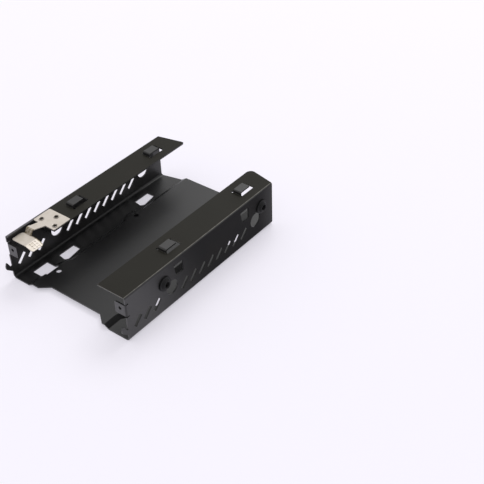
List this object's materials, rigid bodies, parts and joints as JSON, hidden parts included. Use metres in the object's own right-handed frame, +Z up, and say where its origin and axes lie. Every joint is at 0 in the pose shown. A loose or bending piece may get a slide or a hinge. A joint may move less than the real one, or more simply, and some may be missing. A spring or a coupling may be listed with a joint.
{
  "type": "hard drive bracket",
  "caption": "Open tray of folded sheet steel that carries a 3.5 inch drive in rubber grommets, stacks on its like by flange tabs and base windows, and has a riveted spring latch.",
  "frame": {"origin": "middle of the underside of the base, half way along and across", "axes": "+X across the tray, away from the latch side; +Y along the tray to its rear; +Z up, out of its open side"},
  "size_m": [0.112, 0.16, 0.038],
  "materials": {
    "coated_steel": "semi-gloss black powder coat",
    "spring_steel": "bright plated spring steel, warm tone",
    "rivet_steel": "bright plated",
    "grommet_rubber": "matte black"
  },
  "bodies": {
    "root": {"tray": "coated_steel", "latch_spring": "spring_steel", "latch_rivets": "rivet_steel", "grommet_latch_front": "grommet_rubber", "grommet_latch_rear": "grommet_rubber", "grommet_plain_front": "grommet_rubber", "grommet_plain_rear": "grommet_rubber"}
  },
  "joints": []
}
